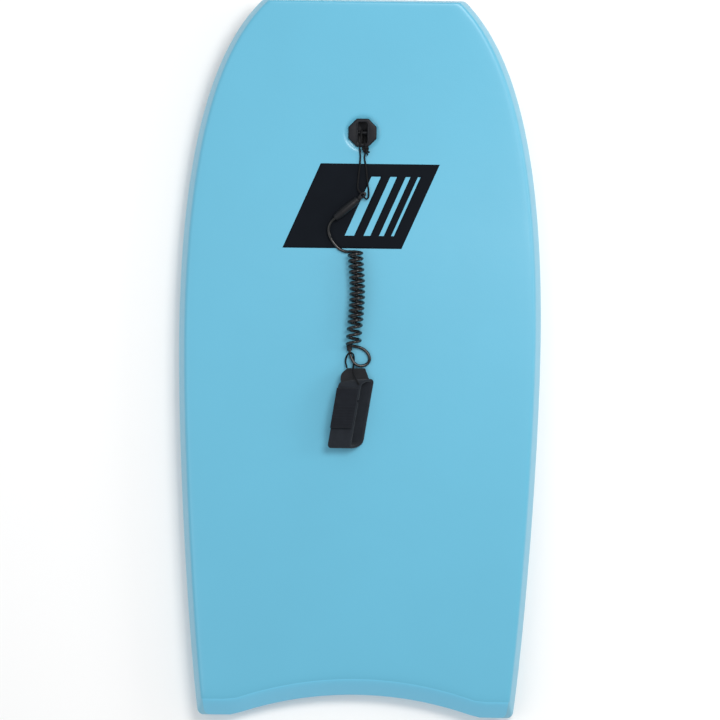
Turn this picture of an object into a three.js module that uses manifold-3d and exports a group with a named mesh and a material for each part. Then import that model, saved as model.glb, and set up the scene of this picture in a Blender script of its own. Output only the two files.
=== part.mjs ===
// Bodyboard with a coiled wrist leash.
// Millimetres, +Z up. The board lies slick side down, its nose towards +Y.
// The origin is under the middle of the board, on the surface it rests on.
import * as THREE from "three";
import { ParametricGeometry } from "three/addons/geometries/ParametricGeometry.js";
import { mergeVertices } from "three/addons/utils/BufferGeometryUtils.js";
import Module from "manifold-3d";

const wasm = await Module();
wasm.setup();

// ---------- driving dimensions ----------
const GAP = 0.3; // clearance between pieces that touch
const board = {
  length: 1067,
  noseHalfWidth: 149.3,
  wideHalfWidth: 269.8,
  tailHalfWidth: 234.6,
  widestFromNose: 497,
  thickness: 55,
  noseThinning: 10,
  tailThinning: 5,
  noseRise: 35,
  curveLength: 350, // length of the curved stretch at each end
  noseCorner: 12,
  noseCornerWidening: 8, // how much wider the board is where the nose corner's arc ends
  tailCorner: 8,
  cornerDrop: 4, // how far deck and slick close in at the very end
  crescentDepth: 32,
  crescentHalfChord: 182,
  tailSlope: 1.15, // how steeply the deck falls to the tail's edge
};
const rail = { width: 14, tailWidth: 25, facet: 9, widestAt: 0.45, noseMitre: 136, tailMitre: 221 };
const skin = { deck: 5, slick: 3, print: 0.4 };
const spine = { halfWidth: 10.2, plugRoom: 19.6 }; // the core's centre strip, broken by the plug
// The printed block: a leaning parallelogram with a row of slits, each given as its start and width.
const print = {
  left: -117, bottom: 164, width: 177, height: 126, lean: 0.44, border: 19,
  slits: [[84, 14], [112, 10], [135, 7], [153, 4]],
};
const plug = {
  y: 336, acrossFlats: 42, flange: 3, slotWidth: 14, slotLength: 32, slotDepth: 12, wall: 3,
  barRadius: 2.5, barDrop: 4.2, stemRadius: 6, nutRadius: 19,
};
const swivel = { x: -39.4, y: 208.4, z: 62, angle: 40.4, length: 44, radius: 6, eyeHole: 2.1 };
const cord = { radius: 2.3, coilRadius: 12 };
const string = { radius: 1.3 };
const cuff = {
  x: -12.3, y: -81.3, width: 33, height: 24, thickness: 4,
  lean: 0.88, // how far the band's top lies to the left, for each millimetre up
  slant: 0.158, // how far its nose end lies to the right, for each millimetre along
};

// ---------- routes of the leash, from the plug down to the cuff ----------
const UPPER_STRING = [
  [4.2, 317.9, 65.3], [3.5, 320.8, 64.0], [2.8, 324.3, 60.6], [2.4, 328.3, 55.0],
  [2.2, 331.6, 51.6], [1.7, 335.8, 50.8], [0.9, 339.3, 52.4], [0.0, 340.7, 55.6],
  [-0.9, 339.3, 58.9], [-1.7, 335.8, 60.4], [-2.2, 331.0, 61.4], [-2.6, 326.0, 63.2],
  [-3.1, 321.0, 64.2], [-3.6, 316.5, 63.9], [-3.8, 312.5, 62.4], [-3.5, 308.0, 60.4],
  [-2.9, 302.0, 59.6], [-3.2, 293.0, 59.2], [-3.5, 285.0, 58.8], [-4.9, 275.0, 58.5],
  [-5.7, 264.0, 58.3], [-6.2, 256.0, 59.2], [-5.0, 250.6, 61.2], [-2.6, 247.5, 62.0],
  [1.2, 243.0, 62.0], [4.6, 239.0, 62.0], [7.2, 237.4, 61.6], [9.6, 239.6, 60.6],
  [10.2, 244.5, 59.6], [10.0, 251.0, 58.4], [8.9, 258.0, 58.2], [7.5, 270.5, 58.4],
  [5.9, 285.0, 58.9], [3.6, 296.0, 59.6], [3.4, 301.0, 60.8], [4.0, 304.0, 62.6],
];
const LEAD = [
  [-31.3, 215.3, 62.0], [-35.5, 211.7, 62.0], [-39.4, 208.4, 62.0], [-43.6, 204.4, 61.6],
  [-47.2, 198.6, 60.5], [-48.6, 191.0, 59.3], [-47.0, 182.6, 58.3], [-42.8, 174.6, 57.8],
  [-37.2, 167.6, 57.8], [-31.0, 162.2, 57.8], [-24.0, 159.4, 57.8], [-16.0, 159.0, 57.8],
  [-8.6, 159.2, 57.8],
];
const COIL_AXIS = [
  [-8.5, 156.0, 67.5], [-4.8, 96.5, 67.5], [-6.3, 65.9, 67.5], [-8.7, 37.5, 67.5], [-11.0, 22.6, 67.5],
];
const RING = [
  [-9.4, 18.9, 57.8], [-4.0, 17.7, 57.8], [3.4, 15.3, 57.8], [9.4, 11.2, 57.9],
  [13.6, 5.2, 58.0], [14.7, -0.8, 58.2], [11.9, -6.6, 58.8], [5.6, -10.0, 59.8],
  [-1.6, -10.0, 61.0], [-7.2, -7.0, 61.4], [-10.9, -1.6, 61.0], [-13.4, 4.6, 60.2],
  [-15.0, 11.0, 60.0], [-15.7, 16.5, 60.0], [-16.4, 22.0, 60.0],
];
const LOWER_STRING = [
  [-18.9, -13.2, 64.0], [-19.8, -9.5, 61.0], [-20.9, -5.0, 58.6], [-20.4, 0.5, 58.8],
  [-18.6, 5.0, 61.2], [-15.8, 8.0, 64.3], [-12.4, 8.6, 64.5], [-9.6, 6.2, 61.2],
  [-8.5, 1.6, 57.6], [-8.5, -3.4, 56.7], [-8.9, -7.6, 56.8], [-9.2, -10.6, 61.5],
  [-9.2, -12.9, 66.5], [-9.0, -16.4, 69.6], [-8.6, -21.0, 71.0], [-7.4, -25.5, 74.2],
  [-5.4, -29.6, 77.6], [-2.9, -33.6, 79.8], [0.0, -38.2, 80.5],
];

// ---------- material colours ----------
const FOAM_BLUE = { color: 0x71c0df, roughness: 0.55, metalness: 0 };
const RAIL_BLUE = { color: 0x8ccbe2, roughness: 0.5, metalness: 0 };
const CORE_WHITE = { color: 0xf0f0ec, roughness: 0.9, metalness: 0 };
const INK_BLACK = { color: 0x1d2125, roughness: 0.6, metalness: 0 };
const PLASTIC_BLACK = { color: 0x202225, roughness: 0.4, metalness: 0 };
const STRING_BLACK = { color: 0x141517, roughness: 0.8, metalness: 0 };
const CORD_BLACK = { color: 0x101113, roughness: 0.15, metalness: 0 };
const FABRIC_BLACK = { color: 0x2b2e33, roughness: 0.95, metalness: 0 };

// ---------- solids ----------
function closedGeometry(geometry) {
  geometry.deleteAttribute("normal");
  geometry.deleteAttribute("uv");
  const merged = mergeVertices(geometry, 1e-4);
  const index = merged.getIndex().array;
  const kept = [];
  for (let i = 0; i < index.length; i += 3) {
    const [a, b, c] = [index[i], index[i + 1], index[i + 2]];
    if (a !== b && b !== c && a !== c) kept.push(a, b, c);
  }
  merged.setIndex(kept);
  return merged;
}

function toSolid(geometry) {
  const closed = closedGeometry(geometry);
  return new wasm.Manifold(new wasm.Mesh({
    numProp: 3,
    vertProperties: new Float32Array(closed.getAttribute("position").array),
    triVerts: new Uint32Array(closed.getIndex().array),
  }));
}

function toGeometry(solid) {
  const mesh = solid.getMesh();
  const geometry = new THREE.BufferGeometry();
  geometry.setAttribute("position", new THREE.BufferAttribute(new Float32Array(mesh.vertProperties), 3));
  geometry.setIndex([...mesh.triVerts]);
  return geometry;
}

function subtractAll(solid, cutters) {
  return cutters.reduce((rest, cutter) => rest.subtract(cutter), solid);
}

function boxBetween(low, high) {
  const size = high.map((value, axis) => value - low[axis]);
  const middle = high.map((value, axis) => (value + low[axis]) / 2);
  return new THREE.BoxGeometry(...size).translate(...middle);
}

function outlineThrough(points) {
  return new THREE.Shape(points.map(([first, second]) => new THREE.Vector2(first, second)));
}

// A plan outline, extruded up from z = low to z = high.
function planPrism(shape, low, high, curveSegments = 8) {
  const options = { depth: high - low, bevelEnabled: false, curveSegments };
  return new THREE.ExtrudeGeometry(shape, options).translate(0, 0, low);
}

// A side outline in (y, z), extruded along X and centred on x = 0.
function sidePrism(shape, width, curveSegments = 8) {
  const geometry = new THREE.ExtrudeGeometry(shape, { depth: width, bevelEnabled: false, curveSegments });
  const sideways = new THREE.Matrix4().set(0, 0, 1, -width / 2, 1, 0, 0, 0, 0, 1, 0, 0, 0, 0, 0, 1);
  return geometry.applyMatrix4(sideways);
}

// A round bar of this radius along a smooth route.
function tubeAlong(points, radius, sides, step) {
  const path = new THREE.CatmullRomCurve3(points.map((point) => new THREE.Vector3(...point)));
  const section = new THREE.Shape().absarc(0, 0, radius, 0, 2 * Math.PI);
  return new THREE.ExtrudeGeometry(section, {
    steps: Math.ceil(path.getLength() / step),
    curveSegments: sides / 2,
    extrudePath: path,
    bevelEnabled: false,
  });
}

// A turned piece: pairs of radius and height, spun round the axis that stands up along +Z.
function turned(profile, segments) {
  const points = profile.map(([radius, height]) => new THREE.Vector2(radius, height));
  return new THREE.LatheGeometry(points, segments).rotateX(Math.PI / 2);
}

const group = new THREE.Group();

function addPiece(name, geometry, look, parent = group) {
  const mesh = new THREE.Mesh(closedGeometry(geometry), new THREE.MeshStandardMaterial(look));
  mesh.name = name;
  parent.add(mesh);
  return mesh;
}

// ---------- the board's own curves ----------
const noseY = board.length / 2;
const tailY = -board.length / 2;

function noseBend(y) {
  return Math.max(0, (y - (noseY - board.curveLength)) / board.curveLength) ** 2;
}

function tailBend(y) {
  return Math.max(0, (tailY + board.curveLength - y) / board.curveLength) ** 2;
}

function slickHeight(y) {
  return board.noseRise * noseBend(y);
}

function deckHeight(y) {
  const thickness = board.thickness - board.noseThinning * noseBend(y) - board.tailThinning * tailBend(y);
  return slickHeight(y) + thickness;
}

// Half the plan outline, nose to tail: x is the distance from the nose, y the half width.
const outlineCurves = [
  new THREE.CubicBezierCurve(
    new THREE.Vector2(0, board.noseHalfWidth), new THREE.Vector2(75, 228.4),
    new THREE.Vector2(235, board.wideHalfWidth), new THREE.Vector2(board.widestFromNose, board.wideHalfWidth),
  ),
  new THREE.CubicBezierCurve(
    new THREE.Vector2(board.widestFromNose, board.wideHalfWidth), new THREE.Vector2(681, board.wideHalfWidth),
    new THREE.Vector2(964, 249), new THREE.Vector2(board.length, board.tailHalfWidth),
  ),
];

// Cross sections along the board. inset moves them all inwards by the same amount.
// drop is how far the deck and slick edges close in where a section lies in a rounded end.
function stations(inset = 0) {
  const list = [];
  const corner = (y, halfWidth, radius, toEnd) => [0, 30, 60].map((degrees) => {
    const angle = THREE.MathUtils.degToRad(degrees);
    return {
      y: y - toEnd * (inset + radius * (1 - Math.cos(angle))),
      halfWidth: halfWidth - inset - radius * (1 - Math.sin(angle)),
      drop: board.cornerDrop * (1 - Math.sin(angle)) ** 2,
    };
  });
  list.push(...corner(noseY, board.noseHalfWidth + board.noseCornerWidening, board.noseCorner, 1));
  for (const curve of outlineCurves) {
    for (const point of curve.getSpacedPoints(10)) {
      const y = noseY - point.x;
      const inside = y < noseY - board.noseCorner - inset && y > tailY + board.tailCorner + inset;
      if (inside && y < list.at(-1).y) list.push({ y, halfWidth: point.y - inset, drop: 0 });
    }
  }
  list.push(...corner(tailY, board.tailHalfWidth, board.tailCorner, -1).reverse());
  return list;
}

// The right half of a cross section, from the slick's edge over the rail to the deck's edge.
function railSection({ y, halfWidth, drop }) {
  const low = slickHeight(y) + drop;
  const high = deckHeight(y) - drop;
  const middle = low + (high - low) * rail.widestAt;
  return [
    [halfWidth - rail.facet - 3, low],
    [halfWidth - rail.facet, low + 2],
    [halfWidth, middle],
    [halfWidth - rail.facet, high - 3.5],
    [halfWidth - rail.facet - 2.2, high - 0.9],
    [halfWidth - rail.facet - 6, high],
  ];
}

// The whole board as one solid: its sections joined up, with flat ends and the tail's crescent cut out.
function wholeBoard() {
  const sections = stations();
  const half = sections.map(railSection);
  const around = half[0].length * 2;
  const along = sections.length + 1;
  const corner = (u, v, target) => {
    const row = Math.round(v * along);
    const place = Math.min(Math.max(row - 1, 0), sections.length - 1);
    const side = half[place];
    if (row !== place + 1) return target.set(0, sections[place].y, (side[0][1] + side.at(-1)[1]) / 2);
    const step = Math.round(u * around) % around;
    const mirrored = step >= side.length;
    const [x, z] = side[mirrored ? around - 1 - step : step];
    return target.set(mirrored ? -x : x, sections[place].y, z);
  };
  const blank = toSolid(new ParametricGeometry(corner, around, along));
  return subtractAll(blank, [crescent(0), tailChamfer()]);
}

// A solid turned about the crescent's centre: pairs of growth past the crescent's edge and height.
function tailCutter(profile) {
  const { crescentDepth: depth, crescentHalfChord: half } = board;
  const radius = (half * half + depth * depth) / (2 * depth);
  const around = profile.map(([grow, height]) => [radius + grow, height]);
  const outline = [[0, around[0][1]], ...around, [0, around.at(-1)[1]]];
  return toSolid(turned(outline, 150).translate(0, tailY + depth - radius, 0));
}

function crescent(grow) {
  return tailCutter([[grow, -50], [grow, 150]]);
}

// What is cut off to slope the deck down to the tail's edge, along the crescent and both corners.
function tailChamfer() {
  const edge = rail.widestAt * (board.thickness - board.tailThinning);
  const [start, stop] = [-8, 100].map((inwards) => [inwards, edge + inwards * board.tailSlope]);
  const section = [start, stop, [start[0], stop[1]]];
  const wedge = outlineThrough(section.map(([y, z]) => [tailY + y, z]));
  return tailCutter([start, stop]).add(toSolid(sidePrism(wedge, 700)));
}

// Everything between two depths, measured down from the deck or up from the slick.
function sheetBetween(upper, lower) {
  const count = 12;
  const ys = [];
  const beyond = 20; // the sheet runs on past both ends of the board
  const stretch = board.curveLength + beyond;
  for (let i = 0; i <= count; i += 1) ys.push(tailY - beyond + stretch * (i / count));
  for (let i = 0; i <= count; i += 1) ys.push(noseY - board.curveLength + stretch * (i / count));
  const shape = new THREE.Shape(ys.map((y) => new THREE.Vector2(y, lower(y))));
  for (const y of [...ys].reverse()) shape.lineTo(y, upper(y));
  return toSolid(sidePrism(shape, 700));
}

// The plan of what the rails and bumpers surround, drawn in by a little more.
function insidePlan(grow) {
  const list = stations(rail.width + grow);
  const right = list.map(({ y, halfWidth }) => new THREE.Vector2(halfWidth, y));
  const left = [...list].reverse().map(({ y, halfWidth }) => new THREE.Vector2(-halfWidth, y));
  const plan = toSolid(planPrism(new THREE.Shape([...right, ...left]), -50, 150));
  const tailEdge = rail.tailWidth + grow;
  const corners = toSolid(boxBetween([-400, tailY - 50, -50], [400, tailY + tailEdge, 150]));
  return subtractAll(plan, [crescent(tailEdge), corners]);
}

// ---------- the deck's printed block with slits ----------
// An upright rectangle from (u, v), leant over as the whole block is and made into a solid.
function leaningBlock(u, v, width, height) {
  const corners = [[u, v], [u + width, v], [u + width, v + height], [u, v + height]];
  const points = corners.map(([across, up]) => new THREE.Vector2(
    print.left + across + print.lean * up, print.bottom + up));
  return toSolid(planPrism(new THREE.Shape(points), 0, 120));
}

function printOutline(grow) {
  const { width, height, border } = print;
  const block = leaningBlock(-grow, -grow, width + 2 * grow, height + 2 * grow);
  const slits = print.slits.map(([u, slitWidth]) => leaningBlock(
    u + grow, border + grow, slitWidth - 2 * grow, height - 2 * (border + grow)));
  return subtractAll(block, slits);
}

// ---------- the leash plug, in its own frame: z = 0 on the deck ----------
function roundedSlot(width, length, corner) {
  const [x, y] = [width / 2, length / 2];
  const shape = new THREE.Shape();
  shape.moveTo(x, corner - y);
  shape.lineTo(x, y - corner).absarc(x - corner, y - corner, corner, 0, Math.PI / 2);
  shape.lineTo(corner - x, y).absarc(corner - x, y - corner, corner, Math.PI / 2, Math.PI);
  shape.lineTo(-x, corner - y).absarc(corner - x, corner - y, corner, Math.PI, 1.5 * Math.PI);
  shape.lineTo(x - corner, -y).absarc(x - corner, corner - y, corner, 1.5 * Math.PI, 2 * Math.PI);
  return shape;
}

const plugSlope = Math.atan((deckHeight(plug.y + 1) - deckHeight(plug.y - 1)) / 2);
const plugGroup = new THREE.Group();
plugGroup.position.set(0, plug.y, deckHeight(plug.y));
plugGroup.rotation.x = plugSlope;
plugGroup.updateMatrix();
group.add(plugGroup);

const plugThrough = deckHeight(plug.y) - slickHeight(plug.y);
const nutFace = -plugThrough + 0.8;
const slotFloor = -plug.slotDepth;
const cupFloor = slotFloor - 2;

// The hole through the board: the slotted cup above, the clamping sleeve in the middle, the nut below.
function plugBore(grow) {
  const around = 2 * (plug.wall + grow);
  const cupHole = roundedSlot(plug.slotWidth + around, plug.slotLength + around, 3);
  const pieces = [
    planPrism(cupHole, cupFloor - grow, 10, 3),
    turned([[0, nutFace - 12], [9 + grow, nutFace - 12], [9 + grow, cupFloor + 1], [0, cupFloor + 1]], 24),
    turned([
      [0, nutFace - 10], [plug.nutRadius + grow, nutFace - 10],
      [plug.nutRadius + grow, nutFace + 2 + grow], [0, nutFace + 2 + grow],
    ], 24),
  ].map((geometry) => toSolid(geometry.applyMatrix4(plugGroup.matrix)));
  return pieces[0].add(pieces[1]).add(pieces[2]);
}

function plugBody() {
  const flangeRadius = plug.acrossFlats / 2 / Math.cos(Math.PI / 8);
  const chamfered = turned([
    [0, 2 * GAP], [flangeRadius, 2 * GAP], [flangeRadius, plug.flange - 1.2],
    [flangeRadius - 1.4, plug.flange], [0, plug.flange],
  ], 8).rotateZ(Math.PI / 8);
  const cupOutline = roundedSlot(plug.slotWidth + 2 * plug.wall, plug.slotLength + 2 * plug.wall, 3);
  const cup = planPrism(cupOutline, cupFloor, 1, 3);
  const stem = turned([
    [0, nutFace + 8], [plug.stemRadius, nutFace + 8], [plug.stemRadius, cupFloor + 1], [0, cupFloor + 1],
  ], 16);
  const slot = planPrism(roundedSlot(plug.slotWidth, plug.slotLength, 2), slotFloor, 10, 3);
  const barHole = new THREE.CylinderGeometry(plug.barRadius + GAP, plug.barRadius + GAP, 40, 16)
    .rotateZ(Math.PI / 2).translate(0, 0, -plug.barDrop);
  let body = toSolid(chamfered).add(toSolid(cup)).add(toSolid(stem));
  for (const side of [-1, 1]) {
    const x = side * (plug.slotWidth / 2 + 1.5);
    body = body.add(toSolid(boxBetween([x - 1, -15, plug.flange - 1], [x + 1, 15, plug.flange + 1.2])));
  }
  return toGeometry(subtractAll(body, [toSolid(slot), toSolid(barHole)]));
}

function plugNut() {
  const body = turned([
    [0, nutFace], [plug.nutRadius, nutFace], [plug.nutRadius, nutFace + 2], [9, nutFace + 2],
    [9, cupFloor - 2], [plug.stemRadius + 0.5, cupFloor - 2], [plug.stemRadius + 0.5, nutFace + 6],
    [0, nutFace + 6],
  ], 24);
  const coinSlot = boxBetween([-12, -1.5, nutFace - 1], [12, 1.5, nutFace + 1.2]);
  return toGeometry(toSolid(body).subtract(toSolid(coinSlot)));
}

function addPlug() {
  addPiece("plug_body", plugBody(), PLASTIC_BLACK, plugGroup);
  addPiece("plug_base_nut", plugNut(), PLASTIC_BLACK, plugGroup);
  const bar = new THREE.CylinderGeometry(plug.barRadius, plug.barRadius, 19, 12).rotateZ(Math.PI / 2);
  addPiece("plug_crossbar", bar, PLASTIC_BLACK, plugGroup).position.z = -plug.barDrop;
}

// ---------- the board's layers ----------
function addBoard() {
  const whole = wholeBoard();
  const bore = plugBore(GAP);
  const deckUnder = (y) => deckHeight(y) - skin.deck;
  const slickOver = (y) => slickHeight(y) + skin.slick;
  const high = () => 150;
  const low = () => -50;
  const aboveDepth = (depth) => sheetBetween(high, (y) => deckHeight(y) - depth);

  const pocket = aboveDepth(skin.print + GAP).intersect(printOutline(GAP));
  const deck = whole.intersect(sheetBetween(high, deckUnder));
  addPiece("deck_skin", toGeometry(subtractAll(deck, [bore, pocket])), FOAM_BLUE);
  const ink = aboveDepth(skin.print).intersect(whole).intersect(printOutline(0));
  addPiece("deck_print", toGeometry(ink), INK_BLACK);

  const slick = whole.intersect(sheetBetween(slickOver, low));
  addPiece("slick_skin", toGeometry(slick.subtract(bore)), CORE_WHITE);

  const middle = whole.intersect(sheetBetween((y) => deckUnder(y) - GAP, (y) => slickOver(y) + GAP));
  addCore(middle.intersect(insidePlan(2 * GAP)).subtract(bore));
  addRails(middle.subtract(insidePlan(0)));
}

// The core: a slab on each side of a narrow centre strip, which the plug breaks in two.
function addCore(core) {
  const { halfWidth, plugRoom } = spine;
  const part = (low, high) => {
    const block = toSolid(boxBetween([...low, -50], [...high, 150]));
    return toGeometry(core.intersect(block));
  };
  const slabEdge = halfWidth + GAP;
  addPiece("core_right", part([slabEdge, -600], [400, 600]), CORE_WHITE);
  addPiece("core_left", part([-400, -600], [-slabEdge, 600]), CORE_WHITE);
  addPiece("core_spine_nose", part([-halfWidth, plug.y + plugRoom], [halfWidth, 600]), CORE_WHITE);
  addPiece("core_spine_tail", part([-halfWidth, -600], [halfWidth, plug.y - plugRoom]), CORE_WHITE);
}

// The band of foam round the core, cut into two rails, a nose bumper and a tail bumper.
function addRails(band) {
  const noseBlock = (grow) => toSolid(boxBetween(
    [-rail.noseMitre - grow, noseY - 60, -50], [rail.noseMitre + grow, noseY + 50, 150]));
  const tailBlock = (grow) => toSolid(boxBetween(
    [-rail.tailMitre - grow, tailY - 50, -50], [rail.tailMitre + grow, tailY + 60, 150]));
  const side = (sign) => {
    const block = boxBetween([0, -600, -50], [400, 600, 150]);
    return toSolid(block.translate(sign * 200 - 200, 0, 0));
  };
  const sides = subtractAll(band, [noseBlock(GAP), tailBlock(GAP)]);
  addPiece("rail_right", toGeometry(sides.intersect(side(1))), RAIL_BLUE);
  addPiece("rail_left", toGeometry(sides.intersect(side(-1))), RAIL_BLUE);
  addPiece("nose_bumper", toGeometry(band.intersect(noseBlock(0))), RAIL_BLUE);
  addPiece("tail_bumper", toGeometry(band.intersect(tailBlock(0))), RAIL_BLUE);
}

// ---------- the leash: string, swivel and coiled cord ----------
function swivelGroup() {
  const frame = new THREE.Group();
  frame.position.set(swivel.x, swivel.y, swivel.z);
  frame.rotation.z = THREE.MathUtils.degToRad(swivel.angle);
  group.add(frame);
  return frame;
}

// Both swivel pieces are turned about +Z, then laid down along +X, from the cord's end to the eye.
function addSwivel() {
  const frame = swivelGroup();
  const { length, radius, eyeHole } = swivel;
  const barrel = turned([
    [0, 12], [2.75, 12], [2.75, 0], [4.2, 0], [5.2, 2], [5.6, 8], [radius, 10], [radius, length - 9],
    [5.4, length - 7], [5.4, length - 2], [4.8, length], [2.9, length], [2.9, length - 6], [4.5, length - 6],
    [4.5, length - 13], [0, length - 13],
  ], 16);
  addPiece("swivel_barrel", barrel.rotateY(Math.PI / 2), PLASTIC_BLACK, frame);

  const shank = turned([
    [0, length - 12.5], [4, length - 12.5], [4, length - 6.5], [2.4, length - 6.5], [2.4, length + 3],
    [0, length + 3],
  ], 12).rotateY(Math.PI / 2);
  const eyeOutline = new THREE.Shape();
  eyeOutline.moveTo(length + 1, -4);
  eyeOutline.lineTo(length + 11.5, -4).absarc(length + 11.5, 0, 4, -Math.PI / 2, Math.PI / 2);
  eyeOutline.lineTo(length + 1, 4);
  const lug = planPrism(eyeOutline, -3.75, 3.75, 6);
  const hole = new THREE.CylinderGeometry(eyeHole, eyeHole, 20, 12).translate(length + 9.5, 0, 0);
  const eye = toSolid(shank).add(toSolid(lug)).subtract(toSolid(hole));
  addPiece("swivel_eye", toGeometry(eye), PLASTIC_BLACK, frame);
}

function addLeash() {
  addPiece("string_upper", tubeAlong(UPPER_STRING, string.radius, 8, 2.9), STRING_BLACK);
  const knot = new THREE.SphereGeometry(1, 12, 8).scale(6.2, 6.4, 3.5);
  addPiece("string_knot", knot, STRING_BLACK).position.set(4.4, 311, 65.1);
  addSwivel();
  addPiece("cord_lead", tubeAlong(LEAD, cord.radius, 10, 5), CORD_BLACK);
  addPiece("cord_coil", tubeAlong(COIL_AXIS, cord.coilRadius, 16, 12), CORD_BLACK);
  addPiece("cord_ring", tubeAlong(RING, cord.radius, 10, 4), CORD_BLACK);
  const crimp = turned([[2.75, -4.2], [4, -4.2], [4, 4.2], [2.75, 4.2], [2.75, -4.2]], 16)
    .rotateX(-Math.PI / 2);
  const placed = addPiece("ring_crimp", crimp, PLASTIC_BLACK);
  placed.position.set(-15.65, 16.1, 60);
  placed.rotation.z = Math.atan2(1.4, 11);
  addPiece("string_lower", tubeAlong(LOWER_STRING, string.radius, 8, 2.9), STRING_BLACK);
}

// ---------- the wrist cuff, in its own frame: +Y along the strap towards the nose ----------
const cuffGroup = new THREE.Group();
cuffGroup.position.set(cuff.x, cuff.y, board.thickness + GAP + cuff.height / 2);
group.add(cuffGroup);

// A strap piece from its side outline, lying aslant as the whole cuff does. The band also leans
// over sideways; what lies on its top is only shifted.
function strapPiece(shape, width, lean, shift) {
  const aslant = new THREE.Matrix4().set(1, cuff.slant, -lean, shift, 0, 1, 0, 0, 0, 0, 1, 0, 0, 0, 0, 1);
  return sidePrism(shape, width).applyMatrix4(aslant);
}

// The band's nose end, from its top down to the deck. The tail end is the same, turned half round.
const bandOuter = [
  [38, 12], [44.5, 10.6], [48.4, 6.6], [50.8, 1], [51.6, -5], [51.3, -9.2], [49.3, -11.5], [46, -12],
];
const bandInner = [[37.5, 8], [42.5, 6.9], [45, 4.2], [47, 0], [47.7, -4.6], [47.3, -7.2], [46, -8]];

// The band runs from its root on top, round the nose end, along the bottom, round the tail end
// and back along the top to its free end, which the flap covers.
function bandOutline() {
  const outer = cuff.height / 2;
  const inner = outer - cuff.thickness;
  const root = 20;
  const free = 17;
  const halfRound = (points) => points.map(([y, z]) => [-y, -z]);
  return outlineThrough([
    [root, outer], [root, inner], ...bandInner, ...halfRound(bandInner), [free, inner],
    [free, outer], ...halfRound(bandOuter).reverse(), ...[...bandOuter].reverse(),
  ]);
}

// One of the two patches of the closure, this far above the band's top and 1 mm thick.
function patchOutline(above) {
  const low = cuff.height / 2 + above;
  return outlineThrough([[-19, low], [12.6, low], [12.6, low + 1], [-19, low + 1]]);
}

// The tab slopes down from the band's nose end to the string that it holds, and narrows on its way.
function tabGeometry() {
  const side = outlineThrough([
    [50.8, 3.6], [59, -1], [66.9, -4.2], [66.9, -1.4], [59.5, 2], [50.2, 7.2],
  ]);
  const plan = outlineThrough([[-15.7, 50], [26.5, 50], [20.7, 67.9], [-6.4, 67.9], [-14.8, 57.7]]);
  const solid = toSolid(sidePrism(side, 80)).intersect(toSolid(planPrism(plan, -20, 20)));
  return toGeometry(solid);
}

function addCuff() {
  const top = cuff.height / 2;
  const flapShift = -10.6;
  const patchShift = -9.8;
  const patchWidth = cuff.width - 2;
  const addStrap = (name, shape, width, lean, shift) => {
    addPiece(name, strapPiece(shape, width, lean, shift), FABRIC_BLACK, cuffGroup);
  };
  addStrap("cuff_band", bandOutline(), cuff.width, cuff.lean, 0);
  addStrap("cuff_loop_patch", patchOutline(GAP), patchWidth, 0, patchShift);
  addStrap("cuff_hook_patch", patchOutline(2 * GAP + 1), patchWidth, 0, patchShift);
  // The flap is sewn down at its nose end, and steps up over the two patches.
  addStrap("cuff_flap", outlineThrough([
    [38, top + GAP], [38, top + 3.3], [22, top + 3.6], [15, top + 5.9], [-21.4, top + 5.9],
    [-21.4, top + 2.9], [14, top + 2.9], [21, top + GAP],
  ]), cuff.width, 0, flapShift);
  addPiece("cuff_tab", tabGeometry(), FABRIC_BLACK, cuffGroup);
}

addBoard();
addPlug();
addLeash();
addCuff();

export default group;
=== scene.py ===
"""Bodyboard with a coiled wrist leash, lying slick side down on a pale studio floor.

Metres, in the CAD model's own frame: +Y towards the nose, +Z out of the deck.
"""
import math

import bmesh
import bpy
import numpy as np
from mathutils import Matrix, Vector


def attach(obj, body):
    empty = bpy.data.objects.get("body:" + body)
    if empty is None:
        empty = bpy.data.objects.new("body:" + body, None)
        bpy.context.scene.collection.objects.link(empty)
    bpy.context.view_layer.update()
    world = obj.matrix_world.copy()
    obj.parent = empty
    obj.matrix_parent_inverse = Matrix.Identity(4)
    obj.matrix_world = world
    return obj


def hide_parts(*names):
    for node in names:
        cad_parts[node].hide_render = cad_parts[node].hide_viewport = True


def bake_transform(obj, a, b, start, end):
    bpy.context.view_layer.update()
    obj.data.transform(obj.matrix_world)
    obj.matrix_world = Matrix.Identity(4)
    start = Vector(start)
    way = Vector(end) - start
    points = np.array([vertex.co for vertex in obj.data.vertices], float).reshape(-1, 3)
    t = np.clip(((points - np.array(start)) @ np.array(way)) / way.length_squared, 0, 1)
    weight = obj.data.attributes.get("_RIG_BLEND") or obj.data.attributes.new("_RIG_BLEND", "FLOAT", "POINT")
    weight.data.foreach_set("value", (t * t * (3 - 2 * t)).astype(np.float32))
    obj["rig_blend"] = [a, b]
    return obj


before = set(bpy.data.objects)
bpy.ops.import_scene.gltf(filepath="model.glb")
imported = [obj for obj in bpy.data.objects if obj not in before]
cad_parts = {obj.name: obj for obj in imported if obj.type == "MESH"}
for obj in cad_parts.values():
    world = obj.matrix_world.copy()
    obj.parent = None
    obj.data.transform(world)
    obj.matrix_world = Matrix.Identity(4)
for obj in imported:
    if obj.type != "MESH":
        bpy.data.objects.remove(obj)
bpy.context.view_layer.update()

MM = 0.001
WELD_DISTANCE = 1e-7  # points closer than this are one point

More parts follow.
